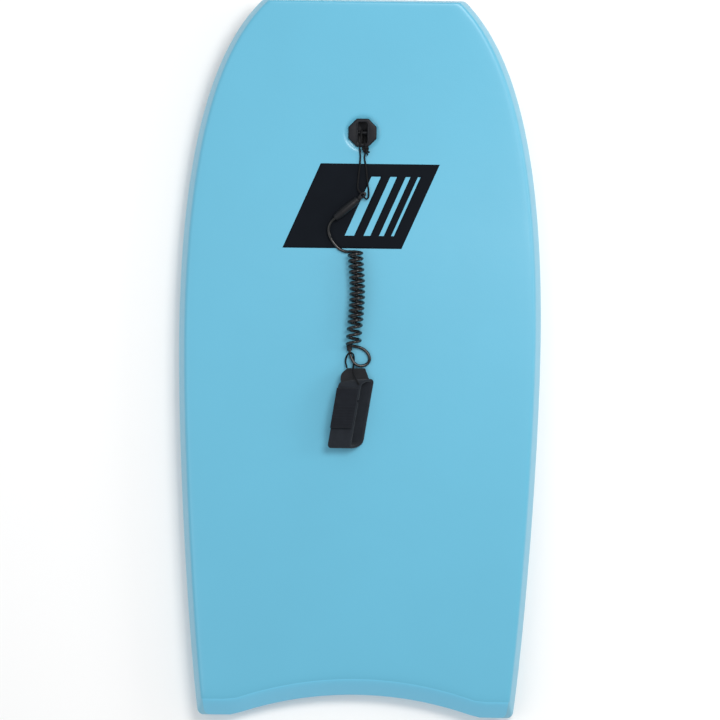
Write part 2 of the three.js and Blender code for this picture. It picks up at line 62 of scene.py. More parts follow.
# ---------- driving dimensions of the board ----------
LENGTH = 1.067
NOSE_Y = LENGTH / 2
TAIL_Y = -LENGTH / 2
THICKNESS = 0.055
NOSE_THINNING = 0.010
TAIL_THINNING = 0.005
NOSE_RISE = 0.035
CURVE_LENGTH = 0.350  # length of the curved stretch at each end
NOSE_CORNER = 0.012
NOSE_CORNER_CENTRE = 0.1445
NOSE_CORNER_DEPTH = 0.0033
TAIL_CORNER = 0.008
CRESCENT_DEPTH = 0.032
CRESCENT_HALF_CHORD = 0.182
CRESCENT_SOFTENING = 0.0015
CRESCENT_REACH = 0.16  # how far from the tail the crescent still bends the grid
CRESCENT_FADE = 0.13
WIDEST_AT = 0.45  # height of the widest line, as a share of the thickness

# Half the plan outline as two Bezier curves: distance from the nose, half width.
NOSE_CURVE = [(0, 0.1493), (0.075, 0.2284), (0.235, 0.2698), (0.497, 0.2698)]
TAIL_CURVE = [(0.497, 0.2698), (0.681, 0.2698), (0.964, 0.249), (1.067, 0.2346)]

# How steeply the board's edge rises from its widest line, at the side, nose and tail.
DECK_SLOPES = (2.9, 6.0, 1.15)
SLICK_SLOPES = (2.4, 5.2, 3.0)
EDGE_ROUNDING = 0.0008
DECK_SHOULDER = 0.006
SLICK_SHOULDER = 0.004
SEAM_DEPTH = 0.00015
DECK_SHEET = 0.004
SLICK_SHEET = 0.003
RAIL_SKIN = 0.003
DISH_RADIUS = 0.0250  # the deck is pressed in round the plug
DISH_DEPTH = 0.0022
DISH_EDGE = 0.0022

# ---------- driving dimensions of the leash and its plug ----------
PLUG_Y = 0.336
PLUG_APOTHEM = 0.021
CORD_RADIUS = 0.0023
COIL_RADIUS = 0.0097
COIL_TURNS = 16
COIL_EVEN_TURNS = 13  # the turns after these lie further apart
COIL_EVEN_LENGTH = 0.1066
COIL_LENGTH = 0.1403
CORD_SIDES = 20
STRING_RADIUS = 0.0013
STRING_SIDES = 12
STRING_STEP = 0.0006
KNOT_SCALE = 0.00145
KNOT_PLACE = (0.0044, 0.3110, 0.0651)
SWIVEL_PLACE = (-0.0394, 0.2084, 0.062)
SWIVEL_ANGLE = math.radians(40.4)
SWIVEL_LENGTH = 0.044

# ---------- driving dimensions of the cuff ----------
CUFF_PLACE = (-0.0123, -0.0813, 0.0673)
CUFF_SLANT = 0.158  # sideways shift of the strap for each metre towards the nose
CUFF_LEAN = -0.88  # sideways shift of the strap for each metre up
CUFF_WIDTH = 0.033
BAND_THICKNESS = 0.004
FLAP_THICKNESS = 0.003
STRAP_STEP = 0.0008
# Half of the band's centreline, as (y, z): round its nose end. The other half is this turned half round.
CUFF_TURN = [
    (0.0380, 0.0100), (0.0435, 0.0088), (0.0467, 0.0054), (0.0489, 0.0005),
    (0.0497, -0.0048), (0.0493, -0.0080), (0.0477, -0.0096), (0.0455, -0.0100),
]

# ---------- routes of the leash, from the plug down to the cuff ----------
UPPER_STRING = [
    (0.0042, 0.3179, 0.0653), (0.0035, 0.3208, 0.0640), (0.0028, 0.3243, 0.0606),
    (0.0024, 0.3283, 0.0550), (0.0022, 0.3316, 0.0516), (0.0017, 0.3358, 0.0508),
    (0.0009, 0.3393, 0.0524), (0.0000, 0.3407, 0.0556), (-0.0009, 0.3393, 0.0589),
    (-0.0017, 0.3358, 0.0604), (-0.0022, 0.3310, 0.0614), (-0.0026, 0.3260, 0.0632),
    (-0.0031, 0.3210, 0.0642), (-0.0036, 0.3165, 0.0639), (-0.0038, 0.3125, 0.0624),
    (-0.0035, 0.3080, 0.0604), (-0.0029, 0.3020, 0.0596), (-0.0032, 0.2930, 0.0592),
    (-0.0035, 0.2850, 0.0588), (-0.0049, 0.2750, 0.0585), (-0.0057, 0.2640, 0.0583),
    (-0.0062, 0.2560, 0.0592), (-0.0050, 0.2506, 0.0612), (-0.0026, 0.2475, 0.0620),
    (0.0012, 0.2430, 0.0620), (0.0046, 0.2390, 0.0620), (0.0072, 0.2374, 0.0616),
    (0.0096, 0.2396, 0.0606), (0.0102, 0.2445, 0.0596), (0.0100, 0.2510, 0.0584),
    (0.0089, 0.2580, 0.0582), (0.0075, 0.2705, 0.0584), (0.0059, 0.2850, 0.0589),
    (0.0036, 0.2960, 0.0596), (0.0034, 0.3010, 0.0608), (0.0040, 0.3040, 0.0626),
]
LEAD = [
    (-0.0313, 0.2153, 0.0620), (-0.0355, 0.2117, 0.0620), (-0.0394, 0.2084, 0.0620),
    (-0.0436, 0.2044, 0.0616), (-0.0472, 0.1986, 0.0605), (-0.0486, 0.1910, 0.0593),
    (-0.0470, 0.1826, 0.0583), (-0.0428, 0.1746, 0.0578), (-0.0372, 0.1676, 0.0578),
    (-0.0310, 0.1622, 0.0578), (-0.0240, 0.1594, 0.0578), (-0.0160, 0.1590, 0.0578),
    (-0.0086, 0.1592, 0.0578),
]
COIL_AXIS = [
    (-0.0086, 0.1592, 0.0675), (-0.0048, 0.0965, 0.0675), (-0.0063, 0.0659, 0.0675),
    (-0.0087, 0.0375, 0.0675), (-0.0094, 0.0189, 0.0675),
]
RING = [
    (-0.0094, 0.0189, 0.0578), (-0.0040, 0.0177, 0.0578), (0.0034, 0.0153, 0.0578),
    (0.0094, 0.0112, 0.0579), (0.0136, 0.0052, 0.0580), (0.0147, -0.0008, 0.0582),
    (0.0119, -0.0066, 0.0588), (0.0056, -0.0100, 0.0598), (-0.0016, -0.0100, 0.0610),
    (-0.0072, -0.0070, 0.0614), (-0.0109, -0.0016, 0.0610), (-0.0134, 0.0046, 0.0602),
    (-0.0150, 0.0110, 0.0600), (-0.0157, 0.0165, 0.0600), (-0.0164, 0.0220, 0.0600),
]
LOWER_STRING = [
    (-0.0189, -0.0132, 0.0640), (-0.0198, -0.0095, 0.0610), (-0.0209, -0.0050, 0.0586),
    (-0.0204, 0.0005, 0.0588), (-0.0186, 0.0050, 0.0612), (-0.0158, 0.0080, 0.0643),
    (-0.0124, 0.0086, 0.0645), (-0.0096, 0.0062, 0.0612), (-0.0085, 0.0016, 0.0576),
    (-0.0085, -0.0034, 0.0567), (-0.0089, -0.0076, 0.0568), (-0.0092, -0.0106, 0.0615),
    (-0.0092, -0.0129, 0.0665), (-0.0090, -0.0164, 0.0696), (-0.0086, -0.0210, 0.0710),
    (-0.0074, -0.0255, 0.0742), (-0.0054, -0.0296, 0.0776), (-0.0029, -0.0336, 0.0798),
    (0.0000, -0.0382, 0.0805),
]


# ---------- meshes ----------
def add_object(name, points, faces, material, sharp=40):
    mesh = bpy.data.meshes.new(name)
    mesh.from_pydata([tuple(point) for point in points], [], faces)
    obj = bpy.data.objects.new(name, mesh)
    bpy.context.collection.objects.link(obj)
    mesh.materials.append(material)
    finish_mesh(obj, sharp)
    return obj


def finish_mesh(obj, sharp=40):
    """Weld the doubles, point every face outwards and shade smooth between the sharp edges."""
    mesh = obj.data
    bm = bmesh.new()
    bm.from_mesh(mesh)
    bmesh.ops.remove_doubles(bm, verts=bm.verts, dist=WELD_DISTANCE)
    bmesh.ops.dissolve_degenerate(bm, dist=WELD_DISTANCE, edges=bm.edges)
    bmesh.ops.recalc_face_normals(bm, faces=bm.faces)
    bm.to_mesh(mesh)
    bm.free()
    mesh.polygons.foreach_set("use_smooth", [True] * len(mesh.polygons))
    mesh.set_sharp_from_angle(angle=math.radians(sharp))


def apply_modifiers(obj):
    evaluated = obj.evaluated_get(bpy.context.evaluated_depsgraph_get())
    mesh = bpy.data.meshes.new_from_object(evaluated)
    obj.modifiers.clear()
    obj.data = mesh


def cut(obj, *cutters):
    """Take each cutter out of the piece, and throw the cutters away."""
    for cutter in cutters:
        modifier = obj.modifiers.new("cut", "BOOLEAN")
        modifier.object = cutter
        modifier.solver = "EXACT"
    apply_modifiers(obj)
    for cutter in cutters:
        bpy.data.objects.remove(cutter)
    finish_mesh(obj, 30)


def place(obj, body, slot, *nodes):
    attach(obj, body)
    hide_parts(*nodes)
    return obj


def soft_polygon(apothems, sharpness, count=96):
    """Points round a polygon whose sides face evenly spaced directions, with soft corners."""
    angles = np.arange(count) * 2 * math.pi / count
    reach = np.zeros(count)
    for number, apothem in enumerate(apothems):
        facing = number * math.pi / len(apothems)
        reach += np.abs(np.cos(angles - facing) / apothem) ** sharpness
    reach = reach ** (-1 / sharpness)
    return np.column_stack([reach * np.cos(angles), reach * np.sin(angles)])


def circle(radius, count=64):
    angles = np.arange(count) * 2 * math.pi / count
    return radius * np.column_stack([np.cos(angles), np.sin(angles)])


def lift_ring(ring, height):
    return np.column_stack([ring, np.full(len(ring), height)])


def loft(name, rings, material, matrix=None, closed=False, sharp=40):
    """A closed solid through rings of equal count: capped at both ends, or joined end to end."""
    count = len(rings[0])
    points = np.vstack(rings)
    faces = []
    last = len(rings) if closed else len(rings) - 1
    for row in range(last):
        here = row * count
        there = (row + 1) % len(rings) * count
        for step in range(count):
            after = (step + 1) % count
            faces.append((here + step, here + after, there + after, there + step))
    if not closed:
        ends = [rings[0].mean(axis=0), rings[-1].mean(axis=0)]
        points = np.vstack([points, ends])
        for end, start in enumerate((0, (len(rings) - 1) * count)):
            hub = len(points) - 2 + end
            faces += [(start + step, start + (step + 1) % count, hub) for step in range(count)]
    obj = add_object(name, points, faces, material, sharp)
    if matrix is not None:
        obj.data.transform(matrix)
    return obj


def turned(name, profile, material, matrix, count=64, closed=False, sharp=40):
    """A turned piece: pairs of radius and height about the local +Z."""
    rings = [lift_ring(circle(radius, count), height) for radius, height in profile]
    return loft(name, rings, material, matrix, closed, sharp)


def running_length(points):
    """How far along a route each of its points lies."""
    return np.concatenate([[0], np.cumsum(np.linalg.norm(np.diff(points, axis=0), axis=1))])


def smooth_route(points, step):
    """Evenly spaced points on a smooth curve through the route's own points."""
    points = np.array(points, float)
    knots = running_length(points)
    slopes = np.gradient(points, knots, axis=0)
    fine = np.linspace(0, knots[-1], 12 * len(points))
    span = np.clip(np.searchsorted(knots, fine) - 1, 0, len(knots) - 2)
    width = (knots[span + 1] - knots[span])[:, None]
    t = (fine - knots[span])[:, None] / width
    curve = (
        points[span] * (2 * t**3 - 3 * t**2 + 1)
        + slopes[span] * width * (t**3 - 2 * t**2 + t)
        + points[span + 1] * (3 * t**2 - 2 * t**3)
        + slopes[span + 1] * width * (t**3 - t**2)
    )
    return evenly(curve, step)


def evenly(curve, step):
    along = running_length(curve)
    places = np.linspace(0, along[-1], max(2, round(along[-1] / step) + 1))
    return np.column_stack([np.interp(places, along, curve[:, axis]) for axis in range(3)])


def tube(name, route, radius, material, sides=16, closed=False):
    """A round cord along a route, with a UV map: u once round it, v the metres along it."""
    ahead = np.roll(route, -1, axis=0) - np.roll(route, 1, axis=0)
    if not closed:
        ahead[0] = route[1] - route[0]
        ahead[-1] = route[-1] - route[-2]
    ahead /= np.linalg.norm(ahead, axis=1)[:, None]
    side = np.cross(ahead[0], (0, 0, 1) if abs(ahead[0][2]) < 0.9 else (0, 1, 0))
    angles = np.arange(sides) * 2 * math.pi / sides
    rings = []
    for centre, forward in zip(route, ahead):
        side = side - forward * side.dot(forward)
        side /= np.linalg.norm(side)
        up = np.cross(forward, side)
        rings.append(centre + radius * (np.outer(np.cos(angles), side) + np.outer(np.sin(angles), up)))
    obj = loft(name, rings, material, closed=closed)
    add_cord_uv(obj, route, rings)
    return obj


def add_cord_uv(obj, route, rings):
    """Each corner's u and v come from the ring point that it lies on."""
    sides = len(rings[0])
    along = running_length(route)
    layer = obj.data.uv_layers.new(name="cord")
    for face in obj.data.polygons:
        columns = [index % sides for index in face.vertices]
        wraps = max(columns) - min(columns) > sides / 2
        for loop, index, column in zip(face.loop_indices, face.vertices, columns):
            row = min(index // sides, len(along) - 1)
            around = column + sides if wraps and column < sides / 2 else column
            layer.data[loop].uv = (around / sides, along[row])


# ---------- materials ----------
def srgb(red, green, blue):
    """A colour given as 0 to 255 on screen, as linear light."""
    values = [value / 255 for value in (red, green, blue)]
    return [value / 12.92 if value <= 0.04045 else ((value + 0.055) / 1.055) ** 2.4 for value in values]


class Look:
    """A procedural material: a Principled shader with colour mottling and layers of bump."""

    def __init__(self, name, color, roughness, **sockets):
        self.material = bpy.data.materials.new(name)
        self.material.use_nodes = True
        self.nodes = self.material.node_tree.nodes
        self.links = self.material.node_tree.links
        self.shader = self.nodes["Principled BSDF"]
        self.color = color
        self.shader.inputs["Base Color"].default_value = (*color, 1)
        self.shader.inputs["Roughness"].default_value = roughness
        self.material.diffuse_color = (*color, 1)
        for socket, value in sockets.items():
            self.shader.inputs[socket.replace("_", " ")].default_value = value
        self.height = None

    def node(self, kind, **inputs):
        node = self.nodes.new(kind)
        for name, value in inputs.items():
            name = name.replace("_", " ")
            if hasattr(value, "is_output"):
                self.links.new(value, node.inputs[name])
            else:
                node.inputs[name].default_value = value
        return node

    def place(self):
        """The piece's own coordinates, in metres."""
        return self.nodes.new("ShaderNodeTexCoord").outputs["Object"]

    def noise(self, scale, detail=2.0, roughness=0.5):
        node = self.node(
            "ShaderNodeTexNoise", Vector=self.place(), Scale=scale, Detail=detail, Roughness=roughness
        )
        return node.outputs["Fac"]

    def mottle(self, scale, amount):
        """Vary the colour by this share, lighter and darker, in patches."""
        ramp = self.nodes.new("ShaderNodeValToRGB")
        ramp.color_ramp.elements[0].position = 0.3
        ramp.color_ramp.elements[1].position = 0.7
        ramp.color_ramp.elements[0].color = (*[value * (1 - amount) for value in self.color], 1)
        ramp.color_ramp.elements[1].color = (*[min(1, value * (1 + amount)) for value in self.color], 1)
        self.links.new(self.noise(scale), ramp.inputs["Fac"])
        self.links.new(ramp.outputs["Color"], self.shader.inputs["Base Color"])
        return self

    def vary_roughness(self, scale, low, high):
        node = self.node("ShaderNodeMapRange", Value=self.noise(scale), To_Min=low, To_Max=high)
        self.links.new(node.outputs["Result"], self.shader.inputs["Roughness"])
        return self

    def bump(self, height, strength, distance):
        node = self.node("ShaderNodeBump", Height=height, Strength=strength, Distance=distance)
        if self.height is not None:
            self.links.new(self.height.outputs["Normal"], node.inputs["Normal"])
        self.links.new(node.outputs["Normal"], self.shader.inputs["Normal"])
        self.height = node
        return self

    def braid(self, pitch, strands):
        """Two sets of strands winding opposite ways round a cord, from its UV map."""
        source = self.node("ShaderNodeUVMap").outputs["UV"]
        split = self.node("ShaderNodeSeparateXYZ", Vector=source)
        heights = []
        for way in (-1, 1):
            around = self.math("MULTIPLY", split.outputs["X"], way * strands * 2 * math.pi)
            along = self.math("MULTIPLY", split.outputs["Y"], 2 * math.pi / pitch)
            heights.append(self.math("SINE", self.math("ADD", around, along)))
        return self.bump(self.math("MULTIPLY", heights[0], heights[1]), 0.6, 0.0002)

    def ribs(self, direction, pitch, depth):
        """Straight ribs across one direction of the piece's own space."""
        dot = self.nodes.new("ShaderNodeVectorMath")
        dot.operation = "DOT_PRODUCT"
        self.links.new(self.place(), dot.inputs[0])
        dot.inputs[1].default_value = direction
        wave = self.math("SINE", self.math("MULTIPLY", dot.outputs["Value"], 2 * math.pi / pitch))
        return self.bump(wave, 0.7, depth)

    def math(self, operation, first, second=None):
        node = self.nodes.new("ShaderNodeMath")
        node.operation = operation
        for socket, value in zip(node.inputs, (first, second)):
            if value is None:
                continue
            if hasattr(value, "is_output"):
                self.links.new(value, socket)
            else:
                socket.default_value = value
        return node.outputs["Value"]


def foam_look(name, color, roughness):
    """Smooth-skinned foam: a fine pebble, a slight unevenness and a faint drift of colour."""
    look = Look(name, color, roughness, Specular_IOR_Level=0.55)
    look.mottle(9, 0.012)
    look.bump(look.noise(640, 3), 0.20, 0.0004)
    look.bump(look.noise(60, 2), 0.10, 0.0010)
    return look.material


def deck_material():
    return foam_look("deck foam", srgb(96, 177, 206), 0.31)


def rail_material():
    return foam_look("rail foam", srgb(122, 184, 208), 0.36)


# Painted light: the tail band's foam is coloured lighter and bluer than the rail foam. This makes up for the
# key light that its sloping face towards the tail does not catch.
def tail_foam_painted_lighter():
    return foam_look("tail foam painted lighter", srgb(108, 192, 224), 0.42)


def core_material():
    look = Look("core foam", srgb(240, 240, 236), 0.9)
    cells = look.node("ShaderNodeTexVoronoi", Vector=look.place(), Scale=260)
    look.bump(cells.outputs["Distance"], 0.4, 0.0006)
    return look.material


def slick_material():
    look = Look("slick plastic", srgb(238, 241, 242), 0.25, Specular_IOR_Level=0.5)
    look.vary_roughness(12, 0.22, 0.30)
    look.bump(look.noise(40, 2), 0.08, 0.0008)
    return look.material


def ink_material():
    look = Look("print ink", srgb(18, 22, 28), 0.75, Specular_IOR_Level=0.05)
    look.mottle(30, 0.06)
    look.bump(look.noise(640, 3), 0.15, 0.0004)
    return look.material


def plastic_material(name, color, roughness):
    look = Look(name, color, roughness, Specular_IOR_Level=0.2)
    look.vary_roughness(90, roughness - 0.06, roughness + 0.06)
    look.bump(look.noise(900, 2), 0.12, 0.0002)
    return look.material


def urethane_material():
    look = Look("urethane cord", srgb(12, 13, 15), 0.16, Specular_IOR_Level=0.4, Coat_Weight=0.1)
    look.vary_roughness(60, 0.12, 0.20)
    look.bump(look.noise(240, 2), 0.05, 0.0003)
    return look.material


def string_material():
    look = Look("nylon string", srgb(16, 17, 20), 0.7, Specular_IOR_Level=0.2)
    look.braid(0.0022, 4)
    return look.material


def neoprene_material(name, color):
    """Knitted jersey over neoprene: a fine weave, soft lumps and a little sheen."""
    look = Look(name, color, 0.9, Sheen_Weight=0.12, Sheen_Roughness=0.5, Specular_IOR_Level=0.1)
    look.mottle(120, 0.10)
    look.bump(look.noise(1500, 2), 0.35, 0.0003)
    look.bump(look.noise(110, 2), 0.25, 0.0010)
    return look.material


def webbing_material():
    look = Look("webbing", srgb(24, 26, 30), 0.8, Sheen_Weight=0.2, Specular_IOR_Level=0.2)
    look.mottle(160, 0.10)
    look.ribs((1, -0.3, 0), 0.0012, 0.0003)
    return look.material


def hook_material():
    look = Look("hook and loop", srgb(22, 23, 25), 0.95, Sheen_Weight=0.4)
    look.bump(look.noise(2200, 3, 0.8), 0.8, 0.0006)
    return look.material


# ---------- the board's own curves ----------
def bezier(points, count=200):
    a, b, c, d = (np.array(point) for point in points)
    t = np.linspace(0, 1, count)[:, None]
    return a * (1 - t) ** 3 + 3 * b * t * (1 - t) ** 2 + 3 * c * t**2 * (1 - t) + d * t**3


OUTLINE = np.vstack([bezier(NOSE_CURVE), bezier(TAIL_CURVE)[1:]])


def outline_width(from_nose):
    return np.interp(from_nose, OUTLINE[:, 0], OUTLINE[:, 1])


def half_width(from_nose):
    """Half the board's width, with the nose and tail corners rounded."""
    width = outline_width(from_nose)
    in_arc = np.clip(NOSE_CORNER - from_nose, 0, NOSE_CORNER)
    arc = NOSE_CORNER_CENTRE + np.sqrt(NOSE_CORNER**2 - in_arc**2)
    width = np.where(from_nose < NOSE_CORNER_DEPTH, arc, width)
    from_tail = np.clip(TAIL_CORNER - (LENGTH - from_nose), 0, TAIL_CORNER)
    return width - TAIL_CORNER + np.sqrt(TAIL_CORNER**2 - from_tail**2)


def bend(distance):
    return np.clip(1 - distance / CURVE_LENGTH, 0, None) ** 2


def slick_height(y):
    return NOSE_RISE * bend(NOSE_Y - y)


def deck_height(y):
    thinning = NOSE_THINNING * bend(NOSE_Y - y) + TAIL_THINNING * bend(y - TAIL_Y)
    return slick_height(y) + THICKNESS - thinning


def crescent(x):
    """How far the tail's edge lies towards the nose, with the crescent's corners softened."""
    radius = (CRESCENT_HALF_CHORD**2 + CRESCENT_DEPTH**2) / (2 * CRESCENT_DEPTH)
    depth = CRESCENT_DEPTH - radius + np.sqrt(radius**2 - x**2)
    return (depth + np.sqrt(depth**2 + CRESCENT_SOFTENING**2)) / 2


# ---------- the board ----------
SIDE_INSETS = MM * np.array([
    0, 0.1, 0.4, 0.9, 1.6, 2.6, 4, 5.5, 7, 7.6, 7.8, 8, 8.2, 8.4, 9, 10, 11.5, 13, 15, 18, 24,
])
NOSE_INSETS = MM * np.array([0, 0.1, 0.4, 1, 2, 2.8, 3.1, 3.3, 3.5, 4, 5, 6.5, 8, 10, 12.5, 16, 22, 30])
TAIL_INSETS = MM * np.array([
    0, 0.1, 0.4, 1, 2, 3.5, 5, 6.5, 7.6, 7.8, 8, 8.2, 8.6, 10, 12, 14, 17,
    20, 23, 24.8, 25, 25.2, 26, 28, 32, 38,
])
MITRE_COLUMN = 15  # the column on which the rails meet the nose and tail bumpers
SIDE_SEAM = 11
NOSE_SEAM = 7
TAIL_SEAM_ABOVE = 20
TAIL_SEAM_BELOW = 10
PLUG_ZONE = 0.036  # half the square round the plug that has a finer grid


def board_rows():
    """Distances from the nose, close together at both ends and round the plug."""
    plug = NOSE_Y - PLUG_Y
    return np.concatenate([
        NOSE_INSETS,
        np.linspace(NOSE_INSETS[-1], plug - PLUG_ZONE, 14)[1:-1],
        np.linspace(plug - PLUG_ZONE, plug + PLUG_ZONE, 46),
        np.linspace(plug + PLUG_ZONE, LENGTH - TAIL_INSETS[-1], 80)[1:-1],
        LENGTH - TAIL_INSETS[::-1],
    ])


def board_grid():
    """The plan position of every grid point, and how far it lies inside each edge."""
    from_nose = board_rows()[:, None]
    width = half_width(from_nose)
    slope = (outline_width(from_nose + 0.001) - outline_width(from_nose - 0.001)) / 0.002
    stretch = np.sqrt(1 + slope**2)
    edge = width - SIDE_INSETS * stretch
    share = np.linspace(0, 1, 11)[1:]
    inner = edge[:, -1:] * (1 - share) + PLUG_ZONE * share
    middle = np.repeat(np.linspace(PLUG_ZONE, 0, 23)[None, 1:], len(edge), axis=0)
    right = np.hstack([edge, inner, middle])
    x = np.hstack([right, -right[:, -2::-1]])
    side = (width - np.abs(x)) / stretch
    from_tail = LENGTH - from_nose + 0 * x
    fade = np.clip((CRESCENT_REACH - from_tail) / CRESCENT_FADE, 0, 1)
    fade = fade * fade * (3 - 2 * fade)
    y = NOSE_Y - from_nose + crescent(x) * fade
    return x, y, side, from_nose + 0 * x, from_tail


def edge_lift(insets, slopes, rise, shoulder):
    """Height above the widest line: a steep facet from each edge, easing over into the flat."""
    total = 0
    for inset, slope in zip(insets, slopes):
        facet = slope * np.sqrt((np.clip(inset, 0, None) + EDGE_ROUNDING) ** 2 - EDGE_ROUNDING**2)
        total = total + (facet + 1e-9) ** -6.0
    facet = total ** (-1 / 6)

    def eased(height):
        return rise - (rise - height + np.sqrt((rise - height) ** 2 + shoulder**2)) / 2

    start = eased(0)
    return (eased(facet) - start) * rise / (rise - start)


def board_surfaces():
    """The deck side and the slick side, as two grids that meet on the widest line."""
    x, y, *insets = board_grid()
    low = slick_height(y)
    thickness = deck_height(y) - low
    widest = low + WIDEST_AT * thickness
    rise = (1 - WIDEST_AT) * thickness
    drop = WIDEST_AT * thickness
    dish = DISH_DEPTH * (1 - np.tanh((np.hypot(x, y - PLUG_Y) - DISH_RADIUS) / DISH_EDGE)) / 2
    above = widest + edge_lift(insets, DECK_SLOPES, rise, DECK_SHOULDER) - dish
    below = widest - edge_lift(insets, SLICK_SLOPES, drop, SLICK_SHOULDER)
    return np.dstack([x, y, above]), np.dstack([x, y, below])


def board_piece(name, surfaces, masks, material, thickness):
    """One closed shell from the chosen grid cells, with its seams pressed in slightly."""
    rows, columns, _ = surfaces[0].shape
    points = np.vstack([surface.reshape(-1, 3) for surface in surfaces])
    faces = []
    for level, mask in enumerate(masks):
        for row, column in zip(*np.nonzero(mask)):
            corner = level * rows * columns + row * columns + column
            face = (corner, corner + 1, corner + columns + 1, corner + columns)
            faces.append(face if level == 0 else face[::-1])
    used = np.unique(faces)
    faces = np.searchsorted(used, faces).tolist()
    obj = add_object(name, points[used], faces, material)
    press_seams(obj.data)
    modifier = obj.modifiers.new("shell", "SOLIDIFY")
    modifier.thickness = thickness
    modifier.offset = -1
    apply_modifiers(obj)
    return obj


def press_seams(mesh):
    bm = bmesh.new()
    bm.from_mesh(mesh)
    bm.normal_update()
    for vertex in bm.verts:
        if vertex.is_boundary:
            vertex.co -= vertex.normal * SEAM_DEPTH
    bm.to_mesh(mesh)
    bm.free()


def board_zones(rows, columns):
    """Which grid cells, above and below the widest line, belong to each layer of the board."""
    row = np.arange(rows - 1)[:, None] + np.zeros((1, columns - 1))
    column = np.arange(columns - 1)[None, :] + np.zeros((rows - 1, 1))
    side = np.minimum(column, columns - 2 - column)
    from_tail = rows - 2 - row
    deck = (side >= SIDE_SEAM) & (row >= NOSE_SEAM) & (from_tail >= TAIL_SEAM_ABOVE)
    slick = (side >= SIDE_SEAM) & (row >= NOSE_SEAM) & (from_tail >= TAIL_SEAM_BELOW)
    inner = side >= MITRE_COLUMN
    nose = inner & (row < NOSE_SEAM)
    tail_above = inner & (from_tail < TAIL_SEAM_ABOVE)
    tail_below = inner & (from_tail < TAIL_SEAM_BELOW)
    right = column < columns / 2 - 1
    rail_above = ~deck & ~nose & ~tail_above
    rail_below = ~slick & ~nose & ~tail_below
    nothing = np.zeros_like(deck)
    return {
        "deck": (deck, nothing),
        "slick": (nothing, slick),
        "nose": (nose, nose),
        "tail": (tail_above, tail_below),
        "right": (rail_above & right, rail_below & right),
        "left": (rail_above & ~right, rail_below & ~right),
    }


def add_board():
    surfaces = board_surfaces()
    zones = board_zones(*surfaces[0].shape[:2])
    rail_foam = rail_material()
    deck = board_piece("deck_foam_sheet", surfaces, zones["deck"], deck_material(), DECK_SHEET)
    cut(deck, plug_cutter())
    place(deck, "board", "deck_foam", "deck_skin")
    slick = board_piece("slick_bottom_sheet", surfaces, zones["slick"], slick_material(), SLICK_SHEET)
    cut(slick, nut_cutter())
    place(slick, "board", "slick_plastic", "slick_skin")
    for zone, name, node, foam in (
        ("right", "right_rail_foam", "rail_right", rail_foam),
        ("left", "left_rail_foam", "rail_left", rail_foam),
        ("nose", "nose_bumper_foam", "nose_bumper", rail_foam),
        ("tail", "tail_bumper_foam", "tail_bumper", tail_foam_painted_lighter()),
    ):
        obj = board_piece(name, surfaces, zones[zone], foam, RAIL_SKIN)
        finish_mesh(obj, 50)
        place(obj, "board", "rail_foam", node)
    core_foam = core_material()
    for name in ("core_right", "core_left", "core_spine_nose", "core_spine_tail"):
        core = bpy.data.objects[name]
        core.data.materials.clear()
        core.data.materials.append(core_foam)


# ---------- the print: a leaning block with a border, and slits between its bars ----------
PRINT_LEFT = -0.117
PRINT_BOTTOM = 0.164
PRINT_WIDTH = 0.177
PRINT_HEIGHT = 0.126
PRINT_LEAN = 0.44
PRINT_BORDER = 0.019
PRINT_SLITS = [(0.084, 0.014), (0.112, 0.010), (0.135, 0.007), (0.153, 0.004)]  # where each starts, its width
PRINT_PROUD = 0.00012
PRINT_FILM = 0.0004


def print_lines(edges, step=0.004):
    """Evenly filled grid lines that include every edge."""
    lines = [edges[0]]
    for low, high in zip(edges, edges[1:]):
        lines += list(np.linspace(low, high, max(2, round((high - low) / step) + 1))[1:])
    return lines


def in_slit(across, up):
    if not PRINT_BORDER < up < PRINT_HEIGHT - PRINT_BORDER:
        return False
    return any(start < across < start + width for start, width in PRINT_SLITS)


def add_print():
    """A thin film of ink that follows the deck."""
    slit_edges = [edge for start, width in PRINT_SLITS for edge in (start, start + width)]
    across = print_lines([0, *slit_edges, PRINT_WIDTH])
    up = print_lines([0, PRINT_BORDER, PRINT_HEIGHT - PRINT_BORDER, PRINT_HEIGHT])
    points = []
    for v in up:
        y = PRINT_BOTTOM + v
        height = float(deck_height(y)) + PRINT_PROUD
        points += [(PRINT_LEFT + u + PRINT_LEAN * v, y, height) for u in across]
    faces = []
    for row, (low, high) in enumerate(zip(up, up[1:])):
        for column, (left, right) in enumerate(zip(across, across[1:])):
            if not in_slit((left + right) / 2, (low + high) / 2):
                corner = row * len(across) + column
                faces.append((corner, corner + 1, corner + len(across) + 1, corner + len(across)))
    obj = add_object("deck_print_film", points, faces, ink_material())
    modifier = obj.modifiers.new("film", "SOLIDIFY")
    modifier.thickness = PRINT_FILM
    modifier.offset = -1
    apply_modifiers(obj)
    place(obj, "board", "print_ink", "deck_print")


# ---------- the leash plug, in its own frame: z = 0 on the deck ----------
PLUG_SLOPE = math.atan((deck_height(PLUG_Y + 0.001) - deck_height(PLUG_Y - 0.001)) / 0.002)
PLUG_PLACE = (0, PLUG_Y, float(deck_height(PLUG_Y)))
PLUG_MATRIX = Matrix.Translation(PLUG_PLACE) @ Matrix.Rotation(PLUG_SLOPE, 4, "X")
PLUG_THROUGH = float(deck_height(PLUG_Y) - slick_height(PLUG_Y))


def box_ring(half_width, half_length, height, sharpness=8):
    return lift_ring(soft_polygon((half_width, half_length), sharpness), height)


def flange_ring(inset, height):
    apothem = PLUG_APOTHEM - inset
    return lift_ring(soft_polygon((apothem,) * 4, 70), height)


def plug_cutter():
    rings = [box_ring(0.0103, 0.0193, height) for height in (-0.030, 0.010)]
    return loft("plug cutter", rings, None, PLUG_MATRIX)


def nut_cutter():
    face = -PLUG_THROUGH
    return turned("nut cutter", [(0.0193, face - 0.010), (0.0193, face + 0.010)], None, PLUG_MATRIX)


